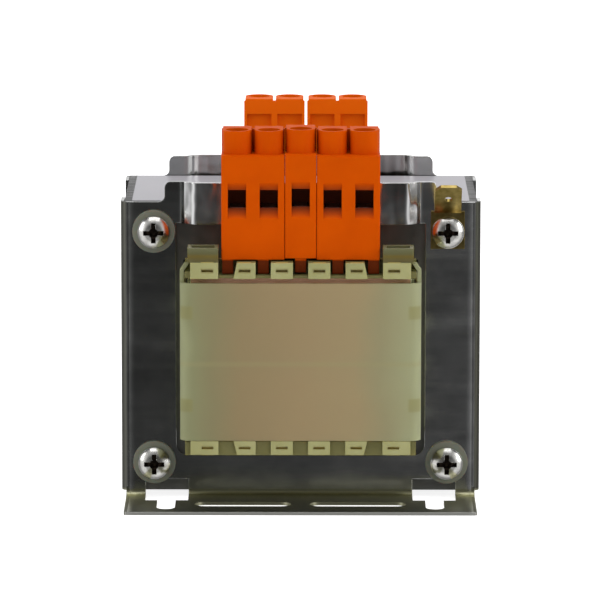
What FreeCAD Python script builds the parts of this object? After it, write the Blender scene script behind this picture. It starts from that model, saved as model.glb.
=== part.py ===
"""Laminated chassis transformer on an EI 84 core, with clip-on screw terminals.

Millimetres. X is to the right, the photographed front looks along -Y, Z is up.
The origin is at the middle of the underside of the mounting feet.
Distances called front or reach are measured forward, so they are minus Y.
"""
import FreeCAD, Part
import math
import os
import Sketcher

doc = FreeCAD.newDocument("chassis_transformer")
sheet = doc.addObject("Spreadsheet::Sheet", "Sizes")


class Size:
    """A length that carries its number and the sheet formula it comes from."""

    def __init__(self, number, formula):
        self.number = number
        self.formula = formula

    def __add__(self, other):
        return Size(self.number + plain(other), f"({self.formula} + {written(other)})")

    def __radd__(self, other):
        return Size(plain(other) + self.number, f"({written(other)} + {self.formula})")

    def __sub__(self, other):
        return Size(self.number - plain(other), f"({self.formula} - {written(other)})")

    def __rsub__(self, other):
        return Size(plain(other) - self.number, f"({written(other)} - {self.formula})")

    def __mul__(self, other):
        return Size(self.number * plain(other), f"({self.formula} * {written(other)})")

    def __rmul__(self, other):
        return self * other

    def __truediv__(self, other):
        return Size(self.number / plain(other), f"({self.formula} / {written(other)})")

    def __neg__(self):
        return Size(-self.number, f"(-1 * {self.formula})")


def plain(value):
    return value.number if isinstance(value, Size) else float(value)


def written(value):
    return value.formula if isinstance(value, Size) else repr(float(value))


row_count = 0


def size(name, number):
    """Write one driving dimension into the sheet and return it."""
    global row_count
    row_count += 1
    sheet.set(f"A{row_count}", name)
    sheet.set(f"B{row_count}", str(number))
    sheet.setAlias(f"B{row_count}", name)
    return Size(float(number), f"Sizes.{name}")


# Driving sizes of the iron core: EI 84 sheets, stacked 42 deep
core_height = size("core_height", 70.0)
core_depth = size("core_depth", 42.0)
leg_width = size("leg_width", 28.0)
side_leg = size("side_leg", 14.0)
core_window_width = size("core_window_width", 14.0)
core_window_height = size("core_window_height", 42.0)
bolt_inset = size("bolt_inset", 7.0)
bolt_hole_radius = size("bolt_hole_radius", 2.4)
PACKETS = 10

# Driving sizes of the moulded two-chamber bobbin
leg_clearance = size("leg_clearance", 0.2)
yoke_clearance = size("yoke_clearance", 0.3)
bobbin_side_gap = size("bobbin_side_gap", 0.7)
bobbin_wall = size("bobbin_wall", 1.1)
bobbin_flange = size("bobbin_flange", 1.5)
bobbin_partition = size("bobbin_partition", 1.2)
lower_chamber = size("lower_chamber", 17.4)
coil_reach = size("coil_reach", 17.5)
rim_height = size("rim_height", 3.8)
rim_wall = size("rim_wall", 2.0)
low_rail_inset = size("low_rail_inset", 1.0)
low_rail_drop = size("low_rail_drop", 0.25)
shelf_drop = size("shelf_drop", 0.9)
tooth_pitch = size("tooth_pitch", 8.8)
tooth_width = size("tooth_width", 5.2)
tooth_draft = size("tooth_draft", 0.8)
end_tooth_gap = size("end_tooth_gap", 0.65)
end_tooth_inset = size("end_tooth_inset", 1.3)
tooth_slot_width = size("tooth_slot_width", 2.7)
tooth_slot_height = size("tooth_slot_height", 0.6)
tooth_slot_depth = size("tooth_slot_depth", 1.0)
post_height = size("post_height", 3.4)
post_setback = size("post_setback", 0.7)
post_depth = size("post_depth", 5.6)
post_wall = size("post_wall", 0.9)

# Driving sizes of the windings and of the two clip-on coil covers
winding_margin = size("winding_margin", 1.2)
winding_corner = size("winding_corner", 9.0)
tape_thickness = size("tape_thickness", 0.3)
cover_wall = size("cover_wall", 1.0)
cover_side_gap = size("cover_side_gap", 0.2)
cover_front_gap = size("cover_front_gap", 0.1)
cover_seat = size("cover_seat", 0.1)
cover_lap = size("cover_lap", 0.5)
cover_top_gap = size("cover_top_gap", 1.1)
cover_core_gap = size("cover_core_gap", 0.3)
cover_corner = size("cover_corner", 2.4)
ear_height = size("ear_height", 4.3)
ear_depth = size("ear_depth", 3.2)
ear_lean = size("ear_lean", 1.1)
catch_height = size("catch_height", 3.3)
catch_depth = size("catch_depth", 2.6)
catch_rise = size("catch_rise", 1.6)
catch_inset = size("catch_inset", 5.8)

# Driving sizes of the two folded brackets
bracket_sheet = size("bracket_sheet", 0.8)
bend_inside = size("bend_inside", 1.0)
side_gap = size("side_gap", 0.1)
side_bend = size("side_bend", 1.8)
side_flange = size("side_flange", 8.0)
foot_reach = size("foot_reach", 21.4)
foot_side_inset = size("foot_side_inset", 1.1)
foot_corner = size("foot_corner", 0.7)
bracket_window_gap = size("bracket_window_gap", 1.2)
bracket_window_drop = size("bracket_window_drop", 3.4)
bracket_window_corner = size("bracket_window_corner", 2.8)
shoulder_web = size("shoulder_web", 2.7)
strap_raise = size("strap_raise", 4.9)
strap_height = size("strap_height", 10.0)
strap_offset = size("strap_offset", 2.2)
joggle_run = size("joggle_run", 3.0)
joggle_radius = size("joggle_radius", 2.2)
shoulder_corner = size("shoulder_corner", 1.5)
shoulder_fillet = size("shoulder_fillet", 1.5)
notch_pitch = size("notch_pitch", 64.0)
notch_width = size("notch_width", 10.3)
notch_rise = size("notch_rise", 2.8)
notch_reach = size("notch_reach", 7.7)
foot_slot_width = size("foot_slot_width", 4.4)
foot_slot_reach = size("foot_slot_reach", 17.9)
long_slot_pitch = size("long_slot_pitch", 27.4)
long_slot_length = size("long_slot_length", 23.0)
long_slot_width = size("long_slot_width", 5.0)
long_slot_reach = size("long_slot_reach", 12.1)

# Driving sizes of the four clamp screws and what is on them
screw_radius = size("screw_radius", 2.0)
head_radius = size("head_radius", 3.9)
head_height = size("head_height", 2.7)
head_crown = size("head_crown", 1.9)
recess_span = size("recess_span", 4.8)
recess_width = size("recess_width", 1.1)
recess_depth = size("recess_depth", 1.4)
recess_core_radius = size("recess_core_radius", 1.15)
recess_core_depth = size("recess_core_depth", 2.0)
washer_radius = size("washer_radius", 5.1)
washer_bore = size("washer_bore", 2.2)
washer_thickness = size("washer_thickness", 1.0)
nut_flats = size("nut_flats", 7.0)
nut_height = size("nut_height", 3.2)
thread_gap = size("thread_gap", 0.05)
screw_point = size("screw_point", 1.4)

# Driving sizes of the earth tab, a standard 6.3 x 0.8 blade
tab_width = size("tab_width", 6.3)
tab_sheet = size("tab_sheet", 0.8)
tab_length = size("tab_length", 10.3)
tab_angle = size("tab_angle", 45.0)
tab_tip = size("tab_tip", 1.3)
tab_hole_radius = size("tab_hole_radius", 0.9)
tab_hole_inset = size("tab_hole_inset", 4.6)
tab_base_width = size("tab_base_width", 8.0)
tab_base_height = size("tab_base_height", 9.0)
tab_base_rise = size("tab_base_rise", 4.9)

# Driving sizes of the rating label
label_margin = size("label_margin", 1.8)
label_edge = size("label_edge", 0.6)
label_thickness = size("label_thickness", 0.15)
label_corner = size("label_corner", 1.0)

# Driving sizes of the screw terminals, 7.5 between poles
pole_pitch = size("pole_pitch", 7.5)
block_gap = size("block_gap", 0.1)
block_lift = size("block_lift", 0.4)
block_height = size("block_height", 24.6)
block_back_gap = size("block_back_gap", 0.3)
block_depth = size("block_depth", 11.6)
block_floor = size("block_floor", 1.4)
block_edge = size("block_edge", 0.35)
ledge_depth = size("ledge_depth", 2.0)
tower_rise = size("tower_rise", 5.6)
tower_radius = size("tower_radius", 3.4)
spine_depth = size("spine_depth", 1.6)
spine_drop = size("spine_drop", 0.5)
entry_width = size("entry_width", 4.3)
entry_height = size("entry_height", 8.5)
entry_drop = size("entry_drop", 6.4)
throat_height = size("throat_height", 4.3)
throat_drop = size("throat_drop", 1.8)
lintel_slope = size("lintel_slope", 1.2)
sill_slope = size("sill_slope", 1.9)
chamber_width = size("chamber_width", 5.9)
chamber_depth = size("chamber_depth", 7.1)
chamber_drop = size("chamber_drop", 3.0)
back_wall = size("back_wall", 1.1)
back_recess_depth = size("back_recess_depth", 1.0)
back_recess_width = size("back_recess_width", 6.0)
back_recess_drop = size("back_recess_drop", 3.7)
back_recess_sill = size("back_recess_sill", 2.0)
funnel_radius = size("funnel_radius", 2.65)
funnel_depth = size("funnel_depth", 3.9)
driver_bore = size("driver_bore", 2.0)
tenon_width = size("tenon_width", 2.6)
tenon_depth = size("tenon_depth", 2.5)
tenon_seat = size("tenon_seat", 0.2)
tenon_inset = size("tenon_inset", 0.4)
tenon_rail_gap = size("tenon_rail_gap", 0.3)
middle_lift = size("middle_lift", 0.3)
rear_row_shift = size("rear_row_shift", 1.2)
rear_row_gap = size("rear_row_gap", 0.6)

# Driving sizes of the metal parts inside each terminal
contact_gap = size("contact_gap", 0.1)
contact_sheet = size("contact_sheet", 0.8)
contact_width = size("contact_width", 3.2)
cage_side_gap = size("cage_side_gap", 0.2)
cage_wall = size("cage_wall", 0.55)
cage_top = size("cage_top", 2.6)
cage_front_gap = size("cage_front_gap", 0.2)
clamp_screw_radius = size("clamp_screw_radius", 1.45)
clamp_head_radius = size("clamp_head_radius", 2.45)
clamp_head_height = size("clamp_head_height", 1.9)
driver_slot_width = size("driver_slot_width", 0.8)
driver_slot_depth = size("driver_slot_depth", 1.0)

doc.recompute()

# Worked out from the driving sizes: the core
core_side = leg_width / 2 + core_window_width + side_leg
core_front = core_depth / 2
core_floor = bracket_sheet + bend_inside
core_top = core_floor + core_height
yoke_height = (core_height - core_window_height) / 2
packet_depth = core_depth / PACKETS
bolt_x = core_side - side_leg / 2
bolt_low = core_floor + bolt_inset
bolt_high = core_top - bolt_inset

# Worked out: the bobbin, its covers and what is wound on it
tube_x = leg_width / 2 + leg_clearance
tube_y = core_front + leg_clearance
tube_outer_x = tube_x + bobbin_wall
tube_outer_y = tube_y + bobbin_wall
flange_x = leg_width / 2 + core_window_width - bobbin_side_gap
rim_front = core_front + coil_reach
cover_inner = rim_front - cover_wall
flange_y = cover_inner - cover_front_gap
bobbin_bottom = core_floor + yoke_height + yoke_clearance
bobbin_top = core_top - yoke_height - yoke_clearance
lower_floor = bobbin_bottom + bobbin_flange
lower_ceiling = lower_floor + lower_chamber
upper_floor = lower_ceiling + bobbin_partition
upper_ceiling = bobbin_top - bobbin_flange
low_rim = lower_floor - rim_height
high_rim = upper_ceiling + rim_height
low_tooth_top = lower_floor - cover_lap
shelf = bobbin_top - shelf_drop
end_tooth_outer = flange_x - end_tooth_inset
end_tooth_inner = pole_pitch * 2.5 + end_tooth_gap
cover_x = flange_x + cover_side_gap + cover_wall

# Worked out: the bracket
plate_front = core_front + bracket_sheet
bracket_side = core_side + side_gap + bracket_sheet
plate_x = bracket_side - side_bend
bracket_top = core_top + strap_raise
bracket_window_x = cover_x + bracket_window_gap
bracket_window_sill = low_rim - bracket_window_drop
shoulder_x = bracket_window_x + shoulder_web
strap_bottom = bracket_top - strap_height
strap_front = plate_front + strap_offset
foot_front = core_front + foot_reach

# Worked out: the terminals
block_bottom = high_rim + block_lift
block_shoulder = block_bottom + block_height
tower_top = block_shoulder + tower_rise
block_back = strap_front + block_back_gap
block_front = block_back + block_depth
tower_centre = block_front - ledge_depth - tower_radius
chamber_back = block_back + back_recess_depth + back_wall
chamber_front = chamber_back + chamber_depth
chamber_top = block_shoulder - chamber_drop
entry_top = block_shoulder - entry_drop
entry_bottom = entry_top - entry_height
throat_top = entry_top - throat_drop
throat_bottom = throat_top - throat_height
tenon_front = block_front - tenon_inset
tenon_back = tenon_front - tenon_depth
rail_front = tenon_back - tenon_rail_gap
tooth_back = rail_front - rim_wall / 2
contact_back = chamber_back + contact_gap
cage_back = contact_back + contact_sheet + contact_gap
cage_front = chamber_front - cage_front_gap
cage_x = chamber_width / 2 - cage_side_gap
cage_floor = throat_bottom - contact_sheet
SLACK = 1.0


def place(thing, x=0, y=0, z=0, turn=0):
    """Set where a piece stands, with its turn about Z in degrees."""
    where = FreeCAD.Vector(plain(x), plain(y), plain(z))
    spin = FreeCAD.Rotation(FreeCAD.Vector(0, 0, 1), turn)
    thing.Placement = FreeCAD.Placement(where, spin)
    for axis, value in (("x", x), ("y", y), ("z", z)):
        if isinstance(value, Size):
            thing.setExpression(f"Placement.Base.{axis}", value.formula)


def new_body(name):
    body = doc.addObject("PartDesign::Body", name)
    body.Label = name
    return body


def new_sketch(body, role, offset=0):
    """A sketch on one of the body's own origin planes, moved out by offset."""
    sketch = body.newObject("Sketcher::SketchObject", body.Name + "_sketch")
    planes = [item for item in body.Origin.OriginFeatures if item.Role == role]
    sketch.AttachmentSupport = [(planes[0], "")]
    sketch.MapMode = "FlatFace"
    if isinstance(offset, Size):
        sketch.setExpression("AttachmentOffset.Base.z", offset.formula)
    return sketch


def hold(sketch, kind, geometry, point, value):
    """Fix one coordinate of a sketch point and tie it to the sheet."""
    index = sketch.addConstraint(
        Sketcher.Constraint(kind, -1, 1, geometry, point, plain(value))
    )
    if isinstance(value, Size):
        sketch.setExpression(f"Constraints[{index}]", value.formula)


def polygon(sketch, corners):
    """A closed outline through the given corners, each one held in x and y."""
    first = sketch.GeometryCount
    count = len(corners)
    ends = [FreeCAD.Vector(plain(x), plain(y), 0) for x, y in corners]
    for step in range(count):
        sketch.addGeometry(Part.LineSegment(ends[step], ends[(step + 1) % count]))
    for step in range(count):
        following = first + (step + 1) % count
        sketch.addConstraint(Sketcher.Constraint("Coincident", first + step, 2, following, 1))
    for step, (x, y) in enumerate(corners):
        hold(sketch, "DistanceX", first + step, 1, x)
        hold(sketch, "DistanceY", first + step, 1, y)


def rectangle(sketch, left, low, right, high):
    polygon(sketch, [(left, low), (right, low), (right, high), (left, high)])


def rounded_rectangle(sketch, x, y, radius):
    """A rectangle about the middle, of half sizes x and y, with round corners."""
    first = sketch.GeometryCount
    flats = [
        ((radius - x, -y), (x - radius, -y)), ((x, radius - y), (x, y - radius)),
        ((x - radius, y), (radius - x, y)), ((-x, y - radius), (-x, radius - y)),
    ]
    centres = [(x - radius, radius - y), (x - radius, y - radius),
               (radius - x, y - radius), (radius - x, radius - y)]
    for start, end in flats:
        ends = [FreeCAD.Vector(plain(point[0]), plain(point[1]), 0) for point in (start, end)]
        sketch.addGeometry(Part.LineSegment(ends[0], ends[1]))
    for step, (centre_x, centre_y) in enumerate(centres):
        centre = FreeCAD.Vector(plain(centre_x), plain(centre_y), 0)
        whole = Part.Circle(centre, FreeCAD.Vector(0, 0, 1), plain(radius))
        quarter = math.pi / 2
        sketch.addGeometry(Part.ArcOfCircle(whole, (step - 1) * quarter, step * quarter))
    for step, (start, end) in enumerate(flats):
        arc = first + 4 + step
        following = first + (step + 1) % 4
        sketch.addConstraint(Sketcher.Constraint("Coincident", first + step, 2, arc, 1))
        sketch.addConstraint(Sketcher.Constraint("Coincident", arc, 2, following, 1))
        for point, corner in ((1, start), (2, end)):
            hold(sketch, "DistanceX", first + step, point, corner[0])
            hold(sketch, "DistanceY", first + step, point, corner[1])
        datum = sketch.addConstraint(Sketcher.Constraint("Radius", arc, plain(radius)))
        sketch.setExpression(f"Constraints[{datum}]", radius.formula)


def circle(sketch, x, y, radius):
    """A circle held at its centre, with its radius tied to the sheet."""
    centre = FreeCAD.Vector(plain(x), plain(y), 0)
    normal = FreeCAD.Vector(0, 0, 1)
    index = sketch.addGeometry(Part.Circle(centre, normal, plain(radius)))
    hold(sketch, "DistanceX", index, 3, x)
    hold(sketch, "DistanceY", index, 3, y)
    datum = sketch.addConstraint(Sketcher.Constraint("Radius", index, plain(radius)))
    if isinstance(radius, Size):
        sketch.setExpression(f"Constraints[{datum}]", radius.formula)


def shape_of(body, kind, sketch, length, both_ways=False, backwards=False):
    """Add a Pad or a Pocket of the given length and make sure that it worked."""
    before = 0.0
    if body.Tip is not None:
        before = body.Tip.Shape.Volume
    feature = body.newObject("PartDesign::" + kind, body.Name + "_" + kind.lower())
    feature.Profile = sketch
    if isinstance(length, Size):
        feature.setExpression("Length", length.formula)
    else:
        feature.Length = length
    if both_ways:
        feature.SideType = "Symmetric"
    feature.Reversed = backwards
    doc.recompute()
    change = feature.Shape.Volume - before
    if (change <= 1e-6) == (kind == "Pad") and abs(change) < 1e-6:
        raise RuntimeError(f"{feature.Name} changed nothing")
    if (change > 0) != (kind == "Pad"):
        raise RuntimeError(f"{feature.Name} went the wrong way")
    return feature


def pad(body, sketch, length, both_ways=False, backwards=False):
    return shape_of(body, "Pad", sketch, length, both_ways, backwards)


def pocket(body, sketch, length, both_ways=False, backwards=False):
    return shape_of(body, "Pocket", sketch, length, both_ways, backwards)


def edges_where(body, chosen):
    """Names of the body's edges whose middle point and direction are chosen."""
    names = []
    for number, edge in enumerate(body.Tip.Shape.Edges, start=1):
        if edge.Curve.TypeId != "Part::GeomLine":
            continue
        middle = edge.CenterOfMass
        along = edge.tangentAt(edge.FirstParameter)
        if chosen(middle, along):
            names.append(f"Edge{number}")
    return names


def near(one, other):
    return abs(plain(one) - plain(other)) < 1e-4


def upright(along):
    return abs(along.z) > 0.999


def crosswise(along):
    return abs(along.x) > 0.999


def lengthwise(along):
    return abs(along.y) > 0.999


def round_edges(body, radius, chosen, kind="Fillet"):
    """Fillet or chamfer the chosen straight edges of the body."""
    names = edges_where(body, chosen)
    if not names:
        raise RuntimeError(f"{body.Name}: no edge to round")
    before = body.Tip
    feature = body.newObject("PartDesign::" + kind, body.Name + "_" + kind.lower())
    feature.Base = (before, names)
    feature.setExpression("Radius" if kind == "Fillet" else "Size", radius.formula)
    doc.recompute()
    if "Invalid" in feature.State or not feature.Shape.isValid():
        raise RuntimeError(f"{feature.Name} failed on {len(names)} edges")
    return feature


def group(name, members):
    """One node that holds several separate solids of the same kind."""
    result = doc.addObject("Part::Compound", name)
    result.Label = name
    result.Links = members
    return result


nodes = []


# The core: packets of E and I sheets, turned over packet by packet
def e_packet(name):
    """E sheets with the yoke on top, legs down, pushed together into one packet."""
    body = new_body(name)
    leg = leg_width / 2
    slot = leg + core_window_width
    yoke = core_height - yoke_height
    outline = new_sketch(body, "XZ_Plane")
    polygon(outline, [
        (-core_side, core_height), (-core_side, yoke_height),
        (-slot, yoke_height), (-slot, yoke),
        (-leg, yoke), (-leg, yoke_height),
        (leg, yoke_height), (leg, yoke),
        (slot, yoke), (slot, yoke_height),
        (core_side, yoke_height), (core_side, core_height),
    ])
    pad(body, outline, packet_depth, both_ways=True)
    holes = new_sketch(body, "XZ_Plane")
    circle(holes, -bolt_x, core_height - bolt_inset, bolt_hole_radius)
    circle(holes, bolt_x, core_height - bolt_inset, bolt_hole_radius)
    pocket(body, holes, packet_depth + SLACK, both_ways=True)
    return body


def i_packet(name):
    """I sheets that close the open side of the E sheets beside them."""
    body = new_body(name)
    outline = new_sketch(body, "XZ_Plane")
    rectangle(outline, -core_side, 0, core_side, yoke_height)
    pad(body, outline, packet_depth, both_ways=True)
    holes = new_sketch(body, "XZ_Plane")
    circle(holes, -bolt_x, bolt_inset, bolt_hole_radius)
    circle(holes, bolt_x, bolt_inset, bolt_hole_radius)
    pocket(body, holes, packet_depth + SLACK, both_ways=True)
    return body


def stack(name, make_packet):
    """Packets side by side through the depth, every second one upside down."""
    members = []
    for number in range(PACKETS):
        packet = make_packet(f"{name}_{number + 1}")
        y = packet_depth * (number + 0.5) - core_front
        turned_over = number % 2 == 1
        spin = FreeCAD.Rotation(FreeCAD.Vector(0, 1, 0), 180 if turned_over else 0)
        z = core_top if turned_over else core_floor
        packet.Placement = FreeCAD.Placement(FreeCAD.Vector(0, plain(y), plain(z)), spin)
        packet.setExpression("Placement.Base.y", y.formula)
        packet.setExpression("Placement.Base.z", z.formula)
        members.append(packet)
    return group(name, members)


nodes.append(stack("e_laminations", e_packet))
nodes.append(stack("i_laminations", i_packet))


# The bobbin: tube, two end flanges, a partition, toothed rims and corner posts
def frame_outline(sketch, x, y):
    """A ring between the bobbin's tube bore and a rectangle of half sizes x and y."""
    rectangle(sketch, -x, -y, x, y)
    rectangle(sketch, -tube_x, -tube_y, tube_x, tube_y)


def teeth_of(sketch, low, high, narrow_end):
    """Six pin pads in elevation; narrow_end says which end of a pad is drafted."""
    half = tooth_width / 2
    inner = tooth_pitch / 2
    outer = tooth_pitch * 1.5
    for side in (-1, 1):
        rectangle(sketch, side * inner - half, low, side * inner + half, high)
        slim = tooth_draft * side
        edge = side * outer + side * half
        corners = [(side * outer - side * half, low), (edge, low),
                   (edge, high), (side * outer - side * half, high)]
        if narrow_end == "low":
            corners[1] = (edge - slim, low)
        else:
            corners[2] = (edge - slim, high)
        polygon(sketch, corners)
        rectangle(sketch, side * end_tooth_inner, low, side * end_tooth_outer, high)


def bobbin():
    body = new_body("bobbin")
    tube = new_sketch(body, "XY_Plane", bobbin_bottom)
    frame_outline(tube, tube_outer_x, tube_outer_y)
    pad(body, tube, bobbin_top - bobbin_bottom)
    for floor, thickness in (
        (bobbin_bottom, bobbin_flange),
        (lower_ceiling, bobbin_partition),
        (upper_ceiling, bobbin_flange),
    ):
        flange = new_sketch(body, "XY_Plane", floor)
        frame_outline(flange, flange_x, flange_y)
        pad(body, flange, thickness)
    round_edges(body, cover_corner, lambda middle, along:
                upright(along) and near(abs(middle.x), flange_x)
                and middle.z < plain(upper_floor))
    for side in (1, -1):
        ledge = new_sketch(body, "XY_Plane", bobbin_top)
        rectangle(ledge, -end_tooth_inner, -side * rail_front,
                  end_tooth_inner, -side * (flange_y + SLACK))
        pocket(body, ledge, shelf_drop)
    for side in (1, -1):
        high_rail = new_sketch(body, "XZ_Plane", side * rail_front)
        rectangle(high_rail, -flange_x, upper_ceiling + bobbin_flange / 2, flange_x, high_rim)
        pad(body, high_rail, rim_wall, backwards=side > 0)
        low_rail = new_sketch(body, "XZ_Plane", side * (rim_front - low_rail_inset))
        rectangle(low_rail, -flange_x, low_rim - low_rail_drop,
                  flange_x, lower_floor - bobbin_flange / 2)
        pad(body, low_rail, rim_wall, backwards=side > 0)
    for side in (1, -1):
        teeth = new_sketch(body, "XZ_Plane", side * tooth_back)
        teeth_of(teeth, low_rim, low_tooth_top, "low")
        teeth_of(teeth, upper_ceiling, high_rim, "high")
        pad(body, teeth, rim_front - tooth_back, backwards=side < 0)
    for side in (1, -1):
        slots = new_sketch(body, "XZ_Plane", side * (rim_front - tooth_slot_depth))
        half = tooth_slot_width / 2
        for step in (-2.5, -1.5, -0.5, 0.5, 1.5, 2.5):
            x = tooth_pitch * step
            for middle in ((low_rim + low_tooth_top) / 2, high_rim - rim_height / 2):
                rectangle(slots, x - half, middle - tooth_slot_height / 2,
                          x + half, middle + tooth_slot_height / 2)
        pocket(body, slots, tooth_slot_depth + SLACK, backwards=side > 0)
    for side in (1, -1):
        posts = new_sketch(body, "XY_Plane", high_rim)
        outer = flange_x - end_tooth_inset / 2
        front = rim_front - post_setback
        for hand in (-1, 1):
            rectangle(posts, hand * end_tooth_inner, -side * front,
                      hand * outer, -side * (front - post_depth))
        pad(body, posts, post_height)
        wells = new_sketch(body, "XY_Plane", high_rim + post_height)
        for hand in (-1, 1):
            rectangle(wells, hand * (end_tooth_inner + post_wall), -side * (front - post_wall),
                      hand * (outer - post_wall), -side * (front - post_depth + post_wall))
        pocket(body, wells, post_height)
    return body


nodes.append(bobbin())


# The windings and the tape over them
def band(name, floor, ceiling, inside, outside):
    """A closed band round the tube, between two heights and two plan outlines."""
    body = new_body(name)
    outline = new_sketch(body, "XY_Plane", floor)
    for x, y, corner in (inside, outside):
        if corner is None:
            rectangle(outline, -x, -y, x, y)
        else:
            rounded_rectangle(outline, x, y, corner)
    pad(body, outline, ceiling - floor)
    return body


winding_x = flange_x - winding_margin
winding_y = flange_y - winding_margin
tube_plan = (tube_outer_x, tube_outer_y, None)
copper_plan = (winding_x - tape_thickness, winding_y - tape_thickness, winding_corner - tape_thickness)
tape_plan = (winding_x, winding_y, winding_corner)
for chamber, floor, ceiling in (
    ("primary", lower_floor, lower_ceiling),
    ("secondary", upper_floor, upper_ceiling),
):
    nodes.append(band(f"{chamber}_winding", floor, ceiling, tube_plan, copper_plan))
    nodes.append(band(f"{chamber}_tape", floor, ceiling, copper_plan, tape_plan))


# The covers: one U of thin nylon clipped over each end of the coil
def coil_cover(name):
    body = new_body(name)
    bottom = low_tooth_top + cover_seat
    top = upper_ceiling - cover_top_gap
    back = core_front + cover_core_gap
    inside = cover_x - cover_wall
    plan = new_sketch(body, "XY_Plane", bottom)
    polygon(plan, [
        (-cover_x, -back), (-cover_x, -rim_front), (cover_x, -rim_front), (cover_x, -back),
        (inside, -back), (inside, -cover_inner), (-inside, -cover_inner), (-inside, -back),
    ])
    pad(body, plan, top - bottom)
    round_edges(body, cover_corner, lambda middle, along:
                upright(along) and near(middle.y, -rim_front))
    inner_corner = cover_corner - cover_wall
    round_edges(body, inner_corner, lambda middle, along:
                upright(along) and near(middle.y, -cover_inner))
    ear_front = rim_front - cover_corner
    hook = bobbin_top + cover_seat
    ears = new_sketch(body, "XZ_Plane", ear_front)
    for hand in (-1, 1):
        polygon(ears, [
            (hand * inside, top), (hand * cover_x, top), (hand * cover_x, hook),
            (hand * (cover_x - ear_lean), top + ear_height),
            (hand * (inside - ear_lean), top + ear_height), (hand * inside, hook),
        ])
    pad(body, ears, ear_depth, backwards=True)
    catches = new_sketch(body, "XZ_Plane", cover_inner)
    for hand in (-1, 1):
        for low in (bottom + catch_inset, top - catch_inset - catch_height):
            rectangle(catches, hand * inside, low, hand * (inside - catch_rise), low + catch_height)
    pad(body, catches, catch_depth, backwards=True)
    return body


front_cover = coil_cover("front_coil_cover")
rear_cover = coil_cover("rear_coil_cover")
place(rear_cover, turn=180)
nodes.append(front_cover)
nodes.append(rear_cover)


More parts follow.
